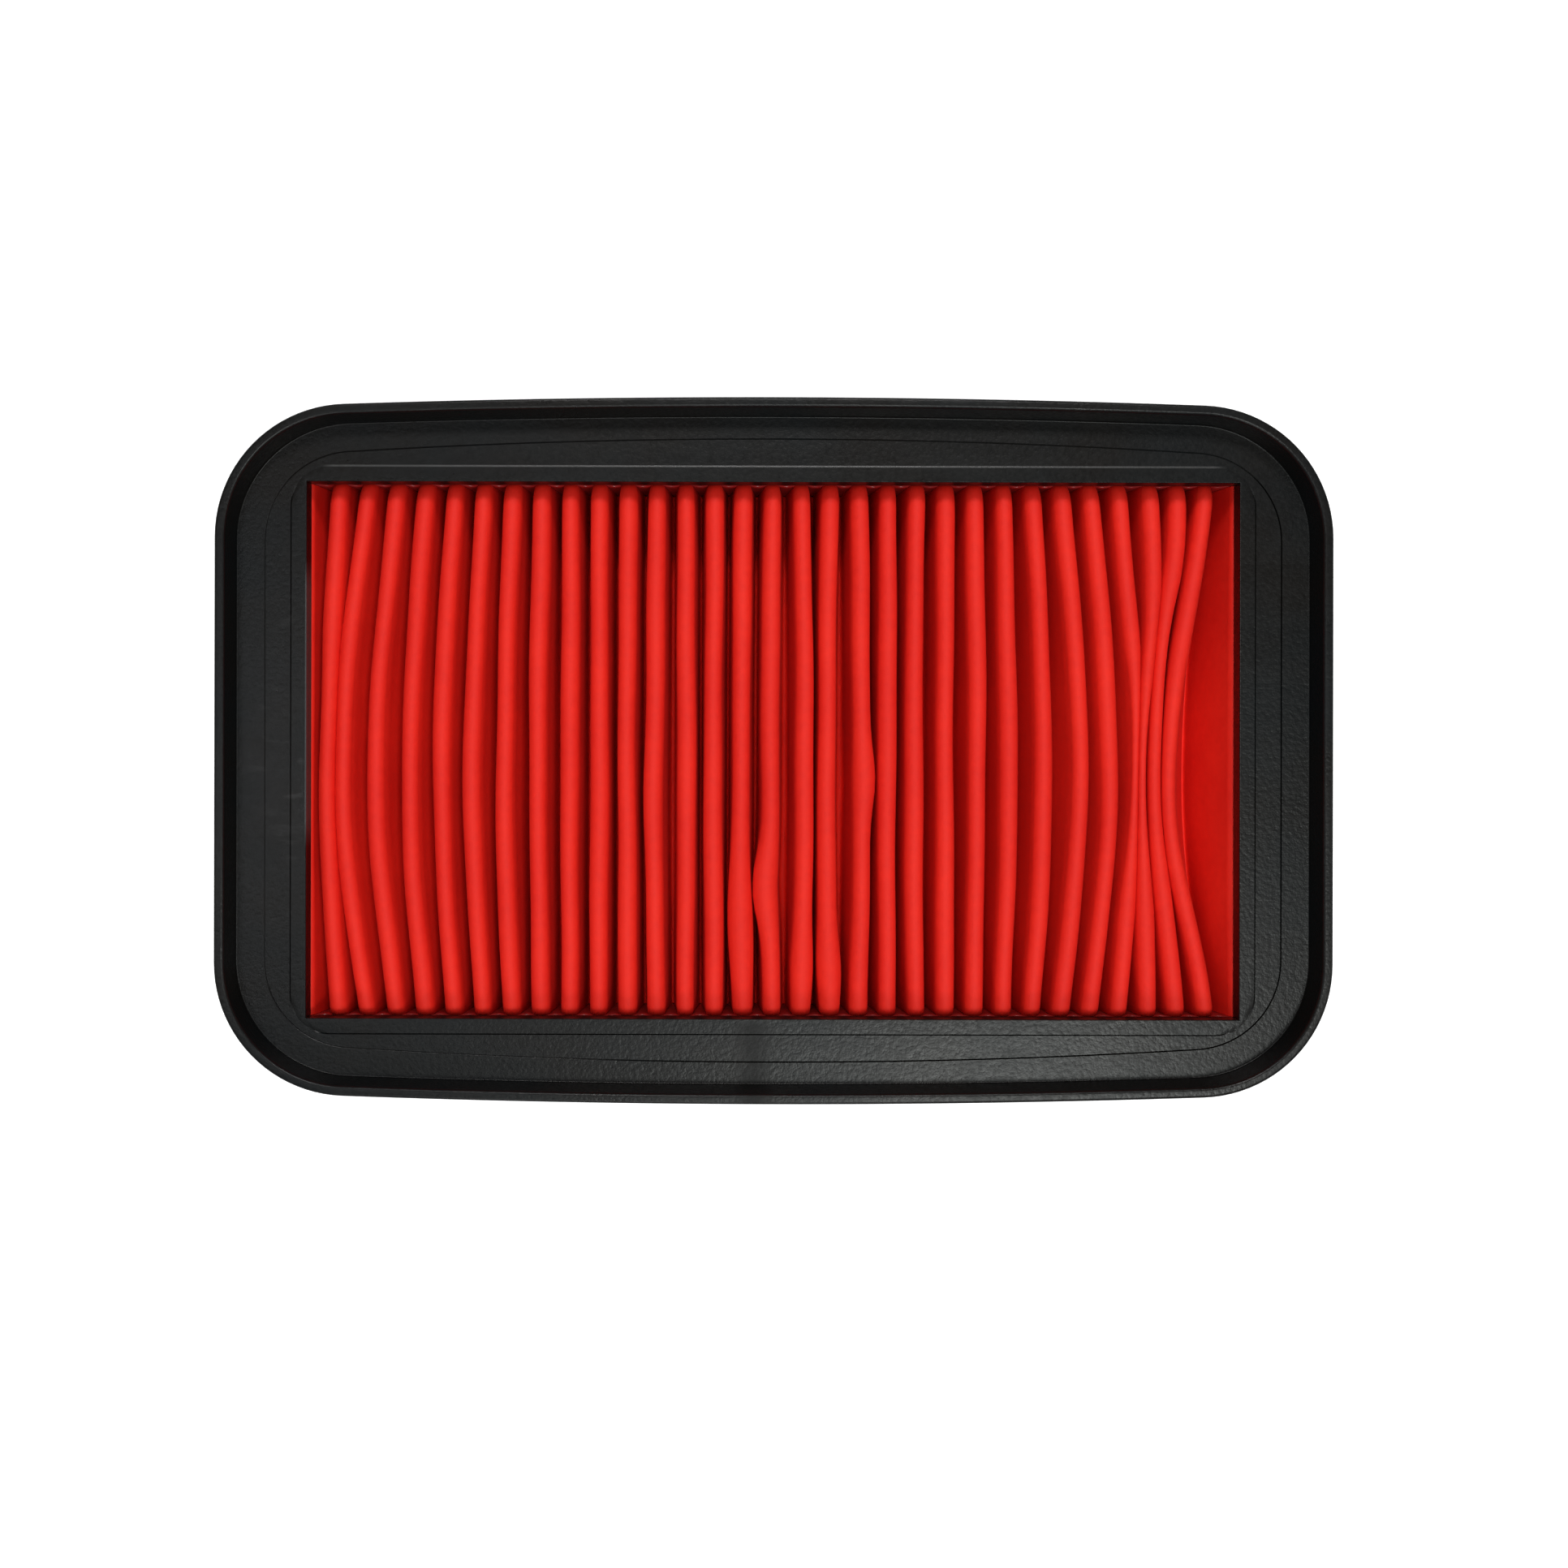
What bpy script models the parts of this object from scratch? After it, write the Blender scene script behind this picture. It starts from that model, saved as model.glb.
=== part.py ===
"""Panel air filter of a small motorcycle: a moulded frame holding a glued, pleated pack.

Units are metres. X runs along the filter, Y across it and Z out of its dirty side.
The origin is in the middle of the filter, on the plane that its rear face rests on.
"""

import math

import bmesh
import bpy
from mathutils import Matrix, Vector
from mathutils.geometry import delaunay_2d_cdt

# Overall sizes of the frame. The long sides bow outwards by SIDE_BOW at their middle.
LENGTH = 0.168
WIDTH = 0.1062
HEIGHT = 0.027
SIDE_BOW = 0.0011
CORNER_RADIUS = 0.020

# Front tray: an upright rim round a flat flange, and a raised bezel round the opening.
RIM_WALL = 0.0015
RIM_DRAFT = 0.0006
RIM_CHAMFER = 0.0003
TRAY_DEPTH = 0.005
FLANGE_THICKNESS = 0.002
SKIRT_DROP = 0.0015
END_FLANGE = 0.0129
SIDE_FLANGE = 0.0111
BEZEL_WIDTH = 0.0023
BEZEL_HEIGHT = 0.0005

# Box behind the flange, with a lip that the pleated pack is pushed up to.
LIP_DEPTH = 0.0036
LIP_OVERHANG = 0.0007
BOX_WALL = 0.0018
BOX_CORNER_RADIUS = 0.003

# Rear grid, snapped into the box by tabs that stand in windows of its walls.
GRID_THICKNESS = 0.0025
GRID_BORDER = 0.004
GRID_RIB = 0.002
LONG_RIBS = 2
CROSS_RIBS = 3
TAB_LENGTH = 0.008
TAB_THICKNESS = 0.0012
TAB_RISE = 0.0007
TAB_REACH = 0.0009
SIDE_TABS = 3
END_TABS = 1

# Pleated sheet, the bands that close its pleats' ends, and the glue lines round it.
PLEAT_PITCH = 0.00446
CREST_RADIUS = 0.00145
MEDIA_THICKNESS = 0.0005
BAND_THICKNESS = 0.0007
GLUE_THICKNESS = 0.0005
GLUE_MARGIN = 0.0012
FOLD_STEPS = 4

# Soft seal ring under the flange.
GASKET_THICKNESS = 0.003

FIT_GAP = 0.0003
CORNER_STEPS = 9
BOW_STEPS = 8
BOX_CORNER_STEPS = 4
OVERCUT = 0.001
FILL_TOLERANCE = 1e-8

# Places that more than one piece is worked out from.
CORNER_HALF_WIDTH = WIDTH / 2 - SIDE_BOW
OPENING_X = LENGTH / 2 - END_FLANGE
OPENING_Y = CORNER_HALF_WIDTH - SIDE_FLANGE
BOX_INNER_X = OPENING_X + LIP_OVERHANG
BOX_INNER_Y = OPENING_Y + LIP_OVERHANG
BOX_OUTER_X = BOX_INNER_X + BOX_WALL
BOX_OUTER_Y = BOX_INNER_Y + BOX_WALL
TRAY_FLOOR_Z = HEIGHT - TRAY_DEPTH
FLANGE_UNDER_Z = TRAY_FLOOR_Z - FLANGE_THICKNESS
BEZEL_TOP_Z = TRAY_FLOOR_Z + BEZEL_HEIGHT
LIP_UNDER_Z = BEZEL_TOP_Z - LIP_DEPTH
PACK_TOP_Z = LIP_UNDER_Z - FIT_GAP
PACK_BOTTOM_Z = GRID_THICKNESS + FIT_GAP
GLUE_OUTER_X = BOX_INNER_X - FIT_GAP
GLUE_OUTER_Y = BOX_INNER_Y - FIT_GAP
LEAF_OUTER_X = GLUE_OUTER_X - GLUE_THICKNESS - FIT_GAP
BAND_OUTER_Y = GLUE_OUTER_Y - GLUE_THICKNESS - FIT_GAP
PLEAT_END_Y = BAND_OUTER_Y - BAND_THICKNESS - FIT_GAP


def clear_scene():
    for obj in list(bpy.data.objects):
        bpy.data.objects.remove(obj, do_unlink=True)


def material(name, colour, roughness, metallic=0.0):
    finish = bpy.data.materials.new(name)
    finish.use_nodes = True
    shader = finish.node_tree.nodes["Principled BSDF"]
    shader.inputs["Base Color"].default_value = (*colour, 1.0)
    shader.inputs["Roughness"].default_value = roughness
    shader.inputs["Metallic"].default_value = metallic
    finish.diffuse_color = (*colour, 1.0)
    return finish


def finished(name, mesh, finish):
    """Turns a closed bmesh into a named object with its faces pointing out."""
    bmesh.ops.recalc_face_normals(mesh, faces=mesh.faces)
    data = bpy.data.meshes.new(name)
    mesh.to_mesh(data)
    mesh.free()
    data.materials.append(finish)
    obj = bpy.data.objects.new(name, data)
    bpy.context.scene.collection.objects.link(obj)
    return obj


def helper(name, mesh, finish):
    """An object that only cuts or joins, and is never drawn."""
    obj = finished(name, mesh, finish)
    obj.hide_render = True
    obj.display_type = "WIRE"
    return obj


def boolean(obj, other, operation):
    step = obj.modifiers.new(other.name, "BOOLEAN")
    step.operation = operation
    step.solver = "EXACT"
    step.object = other


def add_box(mesh, low, high):
    low = Vector(low)
    high = Vector(high)
    size = high - low
    place = Matrix.Translation((low + high) / 2) @ Matrix.Diagonal((*size, 1.0))
    return bmesh.ops.create_cube(mesh, size=1.0, matrix=place)["verts"]


def arc(centre, radius, start, end, steps):
    """Points on an arc, both ends included, with its angles in radians."""
    angles = [start + (end - start) * step / steps for step in range(steps + 1)]
    return [(centre[0] + radius * math.cos(a), centre[1] + radius * math.sin(a)) for a in angles]


def frame_outline(inset):
    """Outer outline of the frame moved inwards by inset, anticlockwise.

    Each long side is one wide arc, and each corner an arc that leaves it with no kink.
    """
    corner_x = LENGTH / 2 - CORNER_RADIUS
    bow_radius = (corner_x**2 + SIDE_BOW**2) / (2 * SIDE_BOW)
    bow_y = WIDTH / 2 - bow_radius
    corner_y = bow_y + math.sqrt((bow_radius - CORNER_RADIUS) ** 2 - corner_x**2)
    lean = math.asin(corner_x / (bow_radius - CORNER_RADIUS))
    up = math.pi / 2
    right = arc((corner_x, corner_y), CORNER_RADIUS - inset, 0.0, up - lean, CORNER_STEPS)
    top = arc((0.0, bow_y), bow_radius - inset, up - lean, up + lean, BOW_STEPS)
    left = arc((-corner_x, corner_y), CORNER_RADIUS - inset, up + lean, math.pi, CORNER_STEPS)
    upper = right + top[1:-1] + left
    return upper + [(-x, -y) for x, y in upper]


def rectangle(half_x, half_y):
    return [(half_x, half_y), (-half_x, half_y), (-half_x, -half_y), (half_x, -half_y)]


def rounded_rectangle(half_x, half_y, radius):
    points = []
    for quarter, (sign_x, sign_y) in enumerate([(1, 1), (-1, 1), (-1, -1), (1, -1)]):
        centre = (sign_x * (half_x - radius), sign_y * (half_y - radius))
        start = quarter * math.pi / 2
        points += arc(centre, radius, start, start + math.pi / 2, BOX_CORNER_STEPS)
    return points


def add_loop(mesh, points, z):
    """A closed ring of edges at one height."""
    corners = [mesh.verts.new((x, y, z)) for x, y in points]
    return [mesh.edges.new(pair) for pair in zip(corners, corners[1:] + corners[:1])]


def bridge(mesh, loops):
    """Walls between loops whose points match one to one."""
    for below, above in zip(loops, loops[1:]):
        for low, high in zip(below, above):
            mesh.faces.new((low.verts[0], low.verts[1], high.verts[1], high.verts[0]))


def fill_ring(mesh, outer, inner):
    """A flat ring between two convex loops at one height, in triangles.

    A triangle that touches the outer loop is in the ring, and one that doesn't is in its hole.
    """
    corners = [edge.verts[0] for edge in outer + inner]
    flat = [corner.co.to_2d() for corner in corners]
    split = len(outer)
    loops = (list(range(split)), list(range(split, len(corners))))
    sides = [pair for loop in loops for pair in zip(loop, loop[1:] + loop[:1])]
    filled = delaunay_2d_cdt(flat, sides, [], 0, FILL_TOLERANCE)
    for triangle in filled[2]:
        given = [filled[3][index][0] for index in triangle]
        if min(given) < split:
            mesh.faces.new([corners[index] for index in given])


def spread(count, room):
    """Middles of count equal stretches of a run of this length centred on zero."""
    return [room * ((index + 0.5) / count - 0.5) for index in range(count)]


def add_tabs(mesh, grow, inner_cut, reach):
    """The grid's snap tabs, or with grow the windows they stand in."""
    low_z = TAB_RISE - grow
    high_z = TAB_RISE + TAB_THICKNESS + grow
    half = TAB_LENGTH / 2 + grow
    edge_x = BOX_INNER_X - FIT_GAP
    edge_y = BOX_INNER_Y - FIT_GAP
    for x in spread(SIDE_TABS, 2 * BOX_INNER_X):
        for side in (-1, 1):
            ends = sorted((side * (edge_y - inner_cut), side * (edge_y + reach)))
            add_box(mesh, (x - half, ends[0], low_z), (x + half, ends[1], high_z))
    for y in spread(END_TABS, 2 * BOX_INNER_Y):
        for side in (-1, 1):
            ends = sorted((side * (edge_x - inner_cut), side * (edge_x + reach)))
            add_box(mesh, (ends[0], y - half, low_z), (ends[1], y + half, high_z))


def make_frame(finish):
    """The one moulding that carries everything: rim, skirt, flange, bezel, lip and box."""
    mesh = bmesh.new()
    skirt_in = RIM_WALL
    rim_foot = add_loop(mesh, frame_outline(RIM_WALL + RIM_DRAFT), TRAY_FLOOR_Z)
    skirt_root = add_loop(mesh, frame_outline(skirt_in), FLANGE_UNDER_Z)
    skirt_z = FLANGE_UNDER_Z - SKIRT_DROP
    rim = [
        skirt_root,
        add_loop(mesh, frame_outline(skirt_in), skirt_z),
        add_loop(mesh, frame_outline(0.0), skirt_z),
        add_loop(mesh, frame_outline(0.0), HEIGHT - RIM_CHAMFER),
        add_loop(mesh, frame_outline(RIM_CHAMFER), HEIGHT),
        add_loop(mesh, frame_outline(RIM_WALL), HEIGHT),
        rim_foot,
    ]
    bridge(mesh, rim)

    bezel_out = rectangle(OPENING_X + BEZEL_WIDTH, OPENING_Y + BEZEL_WIDTH)
    opening = rectangle(OPENING_X, OPENING_Y)
    box_in = rectangle(BOX_INNER_X, BOX_INNER_Y)
    bezel_foot = add_loop(mesh, bezel_out, TRAY_FLOOR_Z)
    box_in_bottom = add_loop(mesh, box_in, 0.0)
    inside = [
        bezel_foot,
        add_loop(mesh, bezel_out, BEZEL_TOP_Z),
        add_loop(mesh, opening, BEZEL_TOP_Z),
        add_loop(mesh, opening, LIP_UNDER_Z),
        add_loop(mesh, box_in, LIP_UNDER_Z),
        box_in_bottom,
    ]
    bridge(mesh, inside)

    box_out = rounded_rectangle(BOX_OUTER_X, BOX_OUTER_Y, BOX_CORNER_RADIUS)
    box_out_bottom = add_loop(mesh, box_out, 0.0)
    box_root = add_loop(mesh, box_out, FLANGE_UNDER_Z)
    bridge(mesh, [box_out_bottom, box_root])

    fill_ring(mesh, rim_foot, bezel_foot)
    fill_ring(mesh, skirt_root, box_root)
    fill_ring(mesh, box_out_bottom, box_in_bottom)
    frame = finished("frame", mesh, finish)

    windows = bmesh.new()
    add_tabs(windows, FIT_GAP, 0.0, FIT_GAP + BOX_WALL + OVERCUT)
    boolean(frame, helper("tab_windows", windows, finish), "DIFFERENCE")
    frame.data.shade_smooth()
    frame.data.set_sharp_from_angle(angle=math.radians(30))


def cuts(half, border, ribs):
    """Both edges of each window along one side of the grid, as pairs."""
    inner = half - border
    window = (2 * inner - ribs * GRID_RIB) / (ribs + 1)
    starts = [-inner + index * (window + GRID_RIB) for index in range(ribs + 1)]
    return [(start, start + window) for start in starts]


def make_rear_grid(finish):
    """Lattice that holds the pack from behind, cut out of one flat plate."""
    half_x = BOX_INNER_X - FIT_GAP
    half_y = BOX_INNER_Y - FIT_GAP
    windows_x = cuts(half_x, GRID_BORDER, CROSS_RIBS)
    windows_y = cuts(half_y, GRID_BORDER, LONG_RIBS)
    mesh = bmesh.new()
    plate = Matrix.Diagonal((half_x, half_y, 1.0, 1.0))
    bmesh.ops.create_grid(mesh, x_segments=1, y_segments=1, size=1.0, matrix=plate)
    for axis, windows in enumerate((windows_x, windows_y)):
        for edge in sum(windows, ()):
            place = Vector((0.0, 0.0, 0.0))
            place[axis] = edge
            normal = Vector((0.0, 0.0, 0.0))
            normal[axis] = 1.0
            everything = mesh.verts[:] + mesh.edges[:] + mesh.faces[:]
            bmesh.ops.bisect_plane(mesh, geom=everything, plane_co=place, plane_no=normal)
    holes = []
    for face in mesh.faces:
        middle = face.calc_center_median()
        in_x = any(low < middle.x < high for low, high in windows_x)
        in_y = any(low < middle.y < high for low, high in windows_y)
        if in_x and in_y:
            holes.append(face)
    bmesh.ops.delete(mesh, geom=holes, context="FACES")
    rise = bmesh.ops.extrude_face_region(mesh, geom=mesh.faces[:], use_keep_orig=True)
    raised = [item for item in rise["geom"] if isinstance(item, bmesh.types.BMVert)]
    bmesh.ops.translate(mesh, verts=raised, vec=(0.0, 0.0, GRID_THICKNESS))
    grid = finished("rear_grid", mesh, finish)

    tabs = bmesh.new()
    add_tabs(tabs, 0.0, GRID_BORDER / 2, TAB_REACH)
    boolean(grid, helper("snap_tabs", tabs, finish), "UNION")


def half_turn(from_x, to_x, tip_z, side):
    """A fold between two upright flanks. Side is 1 on a crest and -1 in a valley."""
    radius = (to_x - from_x) / 2
    centre = (from_x + radius, tip_z - side * radius)
    return arc(centre, radius, math.pi, math.pi - side * math.pi, FOLD_STEPS)


def fold_line():
    """Centre line of the sheet, from one end leaf over every crest to the other leaf."""
    half_sheet = MEDIA_THICKNESS / 2
    leaf_x = LEAF_OUTER_X - half_sheet
    crest = CREST_RADIUS - half_sheet
    valley = PLEAT_PITCH - 2 * crest
    room = 2 * leaf_x - 2 * crest - 2 * valley
    count = int(room / PLEAT_PITCH) + 1
    crest_z = PACK_TOP_Z - half_sheet
    valley_z = PACK_BOTTOM_Z + half_sheet
    line = [(-leaf_x, PACK_TOP_Z)]
    last = -leaf_x
    for index in range(count):
        middle = (index - (count - 1) / 2) * PLEAT_PITCH
        line += half_turn(last, middle - crest, valley_z, -1)
        line += half_turn(middle - crest, middle + crest, crest_z, 1)
        last = middle + crest
    line += half_turn(last, leaf_x, valley_z, -1)
    line.append((leaf_x, PACK_TOP_Z))
    return line


def make_pleated_media(finish):
    """One continuous sheet of filter cloth, folded up and down along the filter."""
    mesh = bmesh.new()
    corners = [mesh.verts.new((x, -PLEAT_END_Y, z)) for x, z in fold_line()]
    for pair in zip(corners, corners[1:]):
        mesh.edges.new(pair)
    drawn = bmesh.ops.extrude_edge_only(mesh, edges=mesh.edges[:])
    far = [item for item in drawn["geom"] if isinstance(item, bmesh.types.BMVert)]
    bmesh.ops.translate(mesh, verts=far, vec=(0.0, 2 * PLEAT_END_Y, 0.0))
    media = finished("pleated_media", mesh, finish)
    wall = media.modifiers.new("thickness", "SOLIDIFY")
    wall.thickness = MEDIA_THICKNESS
    wall.offset = 0.0
    wall.use_even_offset = True
    media.data.shade_smooth()


def make_strip(name, low, high, finish):
    mesh = bmesh.new()
    add_box(mesh, low, high)
    return finished(name, mesh, finish)


def make_bands(band_finish, glue_finish):
    """Cloth bands across the pleats' ends, and the glue between them and the box."""
    glue_inner_y = GLUE_OUTER_Y - GLUE_THICKNESS
    glue_low_z = PACK_BOTTOM_Z + GLUE_MARGIN
    glue_high_z = PACK_TOP_Z - GLUE_MARGIN
    for name, side in (("upper", 1), ("lower", -1)):
        near, far = sorted((side * BAND_OUTER_Y, side * (BAND_OUTER_Y - BAND_THICKNESS)))
        low = (-GLUE_OUTER_X, near, PACK_BOTTOM_Z)
        high = (GLUE_OUTER_X, far, PACK_TOP_Z)
        make_strip(name + "_side_band", low, high, band_finish)
        near, far = sorted((side * GLUE_OUTER_Y, side * glue_inner_y))
        low = (-GLUE_OUTER_X, near, glue_low_z)
        high = (GLUE_OUTER_X, far, glue_high_z)
        make_strip(name + "_side_glue", low, high, glue_finish)
    for name, side in (("left", -1), ("right", 1)):
        near, far = sorted((side * GLUE_OUTER_X, side * (GLUE_OUTER_X - GLUE_THICKNESS)))
        low = (near, -PLEAT_END_Y, glue_low_z)
        high = (far, PLEAT_END_Y, glue_high_z)
        make_strip(name + "_end_glue", low, high, glue_finish)


def make_gasket(finish):
    """Flat foam ring between the skirt and the box, pressed on the housing's edge."""
    top_z = FLANGE_UNDER_Z - FIT_GAP
    bottom_z = top_z - GASKET_THICKNESS
    outer = frame_outline(RIM_WALL + FIT_GAP)
    corner = BOX_CORNER_RADIUS + FIT_GAP
    inner = rounded_rectangle(BOX_OUTER_X + FIT_GAP, BOX_OUTER_Y + FIT_GAP, corner)
    mesh = bmesh.new()
    outer_loops = [add_loop(mesh, outer, z) for z in (bottom_z, top_z)]
    inner_loops = [add_loop(mesh, inner, z) for z in (bottom_z, top_z)]
    bridge(mesh, outer_loops)
    bridge(mesh, inner_loops)
    for outer_loop, inner_loop in zip(outer_loops, inner_loops):
        fill_ring(mesh, outer_loop, inner_loop)
    gasket = finished("gasket", mesh, finish)
    gasket.data.shade_smooth()
    gasket.data.set_sharp_from_angle(angle=math.radians(30))


def main():
    clear_scene()
    black_plastic = material("black_plastic", (0.020, 0.021, 0.021), 0.42)
    grid_plastic = material("grid_plastic", (0.022, 0.022, 0.023), 0.5)
    red_cloth = material("red_cloth", (0.70, 0.012, 0.008), 0.75)
    band_cloth = material("band_cloth", (0.36, 0.008, 0.008), 0.8)
    clear_glue = material("glue", (0.20, 0.010, 0.012), 0.25)
    seal_foam = material("seal_foam", (0.030, 0.030, 0.032), 0.9)
    make_frame(black_plastic)
    make_rear_grid(grid_plastic)
    make_pleated_media(red_cloth)
    make_bands(band_cloth, clear_glue)
    make_gasket(seal_foam)


main()
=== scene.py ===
import math

import bmesh
import bpy
from mathutils import Matrix, Vector
from mathutils.geometry import delaunay_2d_cdt


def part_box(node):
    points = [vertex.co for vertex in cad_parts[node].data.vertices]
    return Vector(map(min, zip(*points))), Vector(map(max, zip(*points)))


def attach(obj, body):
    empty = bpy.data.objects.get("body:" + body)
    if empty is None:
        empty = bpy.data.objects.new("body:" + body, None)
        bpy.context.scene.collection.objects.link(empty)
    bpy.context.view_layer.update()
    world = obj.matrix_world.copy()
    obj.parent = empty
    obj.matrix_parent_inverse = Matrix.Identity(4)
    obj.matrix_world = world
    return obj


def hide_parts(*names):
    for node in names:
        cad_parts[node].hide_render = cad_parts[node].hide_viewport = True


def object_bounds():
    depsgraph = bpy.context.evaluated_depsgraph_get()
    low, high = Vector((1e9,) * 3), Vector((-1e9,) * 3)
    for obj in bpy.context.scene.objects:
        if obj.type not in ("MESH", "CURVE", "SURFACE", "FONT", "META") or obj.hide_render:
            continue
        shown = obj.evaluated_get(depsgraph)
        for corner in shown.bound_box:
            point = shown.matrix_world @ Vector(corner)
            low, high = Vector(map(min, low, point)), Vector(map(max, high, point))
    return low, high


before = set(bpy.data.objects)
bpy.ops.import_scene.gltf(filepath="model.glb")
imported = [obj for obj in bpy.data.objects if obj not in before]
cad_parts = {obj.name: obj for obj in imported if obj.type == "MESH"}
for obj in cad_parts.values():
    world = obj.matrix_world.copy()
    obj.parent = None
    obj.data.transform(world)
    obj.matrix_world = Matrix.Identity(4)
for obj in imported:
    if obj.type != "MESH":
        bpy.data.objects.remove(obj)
cadLow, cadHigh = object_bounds()
mm = 0.001  # shapes are drawn in millimetres and made metres when they are finished


def boxMm(node):
    low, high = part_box(node)
    return low / mm, high / mm


def smoothStep(value):
    value = min(1.0, max(0.0, value))
    return value * value * (3.0 - 2.0 * value)


def finishPiece(name, bm, finish, replaced, sharpAngle=35.0):
    bmesh.ops.scale(bm, vec=(mm, mm, mm), verts=bm.verts)
    data = bpy.data.meshes.new(name)
    bm.to_mesh(data)
    bm.free()
    data.materials.append(finish)
    data.shade_smooth()
    data.set_sharp_from_angle(angle=math.radians(sharpAngle))
    piece = bpy.data.objects.new(name, data)
    bpy.context.scene.collection.objects.link(piece)
    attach(piece, "root")
    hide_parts(*replaced)
    return piece


def vertsOf(found):
    return [item for item in found["geom"] if isinstance(item, bmesh.types.BMVert)]


def facesOf(found):
    return [item for item in found["geom"] if isinstance(item, bmesh.types.BMFace)]


def raiseFace(bm, face, height, keep=False):
    # draws one face straight up or down, and gives the moved face
    drawn = bmesh.ops.extrude_face_region(bm, geom=[face])
    bmesh.ops.translate(bm, verts=vertsOf(drawn), vec=(0.0, 0.0, height))
    if not keep:
        bmesh.ops.delete(bm, geom=[face], context="FACES_ONLY")
    return facesOf(drawn)[0]


def inset(bm, face, width, depth=0.0):
    # a ring of this width round one face, which sinks by depth
    bmesh.ops.inset_region(bm, faces=[face], thickness=width, depth=depth, use_even_offset=True,
                           use_boundary=True)


class Wire:
    def __init__(self, finish, socket):
        self.finish = finish
        self.socket = socket

    def maths(self, operation, first, second=0.0):
        return self.finish.add("ShaderNodeMath", {"operation": operation}, {0: first, 1: second})

    def __add__(self, other):
        return self.maths("ADD", self, other)

    def __radd__(self, other):
        return self.maths("ADD", other, self)

    def __sub__(self, other):
        return self.maths("SUBTRACT", self, other)

    def __rsub__(self, other):
        return self.maths("SUBTRACT", other, self)

    def __mul__(self, other):
        return self.maths("MULTIPLY", self, other)

    def __rmul__(self, other):
        return self.maths("MULTIPLY", other, self)

    def size(self):
        return self.maths("ABSOLUTE", self)

    def most(self, other):
        return self.maths("MAXIMUM", self, other)


class Finish:
    def __init__(self, name, constants):
        self.material = bpy.data.materials.new(name)
        self.material.use_nodes = True
        self.tree = self.material.node_tree
        self.shader = self.tree.nodes["Principled BSDF"]
        for socket, value in constants.items():
            self.shader.inputs[socket].default_value = value
        self.place = self.add("ShaderNodeTexCoord", {}, {}, "Object")

    def add(self, kind, settings, inputs, output=0):
        node = self.tree.nodes.new(kind)
        for key, value in settings.items():
            if key == "stops":
                self.setStops(node.color_ramp, value)
            else:
                setattr(node, key, value)
        for key, value in inputs.items():
            self.join(value, node.inputs[key])
        return Wire(self, node.outputs[output])

    def setStops(self, ramp, stops):
        while len(ramp.elements) < len(stops):
            ramp.elements.new(0.5)
        for element, (position, shade) in zip(ramp.elements, stops):
            element.position = position
            element.color = (shade, shade, shade, 1.0)

    def join(self, value, socket):
        if isinstance(value, Wire):
            self.tree.links.new(value.socket, socket)
        else:
            socket.default_value = value

    def feed(self, socket, value):
        self.join(value, self.shader.inputs[socket])

    def noise(self, scale, detail=2.0, stretch=(1.0, 1.0, 1.0)):
        where = self.add("ShaderNodeMapping", {}, {"Vector": self.place, "Scale": stretch})
        inputs = {"Vector": where, "Scale": scale, "Detail": detail}
        return self.add("ShaderNodeTexNoise", {}, inputs, "Fac")

    def cells(self, scale):
        return self.add("ShaderNodeTexVoronoi", {}, {"Vector": self.place, "Scale": scale}, "Distance")

    def ramp(self, factor, stops):
        return self.add("ShaderNodeValToRGB", {"stops": stops}, {"Fac": factor})

    def blend(self, factor, first, second):
        settings = {"data_type": "RGBA", "clamp_factor": True}
        return self.add("ShaderNodeMix", settings, {0: factor, 6: first, 7: second}, 2)

    def axes(self):
        split = self.add("ShaderNodeSeparateXYZ", {}, {"Vector": self.place})
        outputs = split.socket.node.outputs
        return [Wire(self, outputs[axis]) for axis in range(3)]

    def bump(self, height, distance, strength=1.0):
        inputs = {"Height": height, "Distance": distance, "Strength": strength}
        self.feed("Normal", self.add("ShaderNodeBump", {}, inputs))


camera = {
    "height": 300.0,  # above the rim
    "across": (-7.7, 1.2),
    "widthSeen": 235.1,  # at the height of the rim
    "shift": (0.0393, -0.0264),  # of the lens, as a share of its view
    "turn": 0.12,  # degrees
    "sensor": 36.0,
}


def makeCamera():
    data = bpy.data.cameras.new("camera")
    data.sensor_width = camera["sensor"]
    data.lens = camera["sensor"] * camera["height"] / camera["widthSeen"]
    data.shift_x, data.shift_y = camera["shift"]
    data.clip_start = 0.01
    obj = bpy.data.objects.new("camera", data)
    across, along = camera["across"]
    obj.location = (across * mm, along * mm, cadHigh.z + camera["height"] * mm)
    obj.rotation_euler = (0.0, 0.0, math.radians(camera["turn"]))
    bpy.context.scene.collection.objects.link(obj)
    bpy.context.scene.camera = obj


lamps = {  # place and size in metres, power in watts
    "key": {"at": (0.02, 0.37, 0.57), "size": (0.20, 0.12), "power": 1.75, "tint": (1.0, 0.985, 0.97)},
    "front": {"at": (-0.04, -0.47, 0.50), "size": (0.22, 0.16), "power": 0.9, "tint": (1.0, 1.0, 1.0)},
    "north": {"at": (-0.16, 0.60, 0.66), "size": (0.5, 0.3), "power": 0.4, "tint": (1.0, 1.0, 1.0)},
    "west": {"at": (-0.60, -0.12, 0.60), "size": (0.3, 0.3), "power": 0.3, "tint": (1.0, 1.0, 1.0)},
    "east": {"at": (0.66, -0.10, 0.60), "size": (0.3, 0.3), "power": 0.7, "tint": (1.0, 1.0, 1.0)},
    "sheen": {"at": (0.15, -0.25, 0.86), "size": (0.20, 0.12), "power": 2.6, "tint": (0.96, 1.0, 0.97)},
    "leftSheen": {"at": (-0.29, -0.02, 0.86), "size": (0.10, 0.30), "power": 0.5, "tint": (0.93, 0.96, 1.0)},
}


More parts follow.
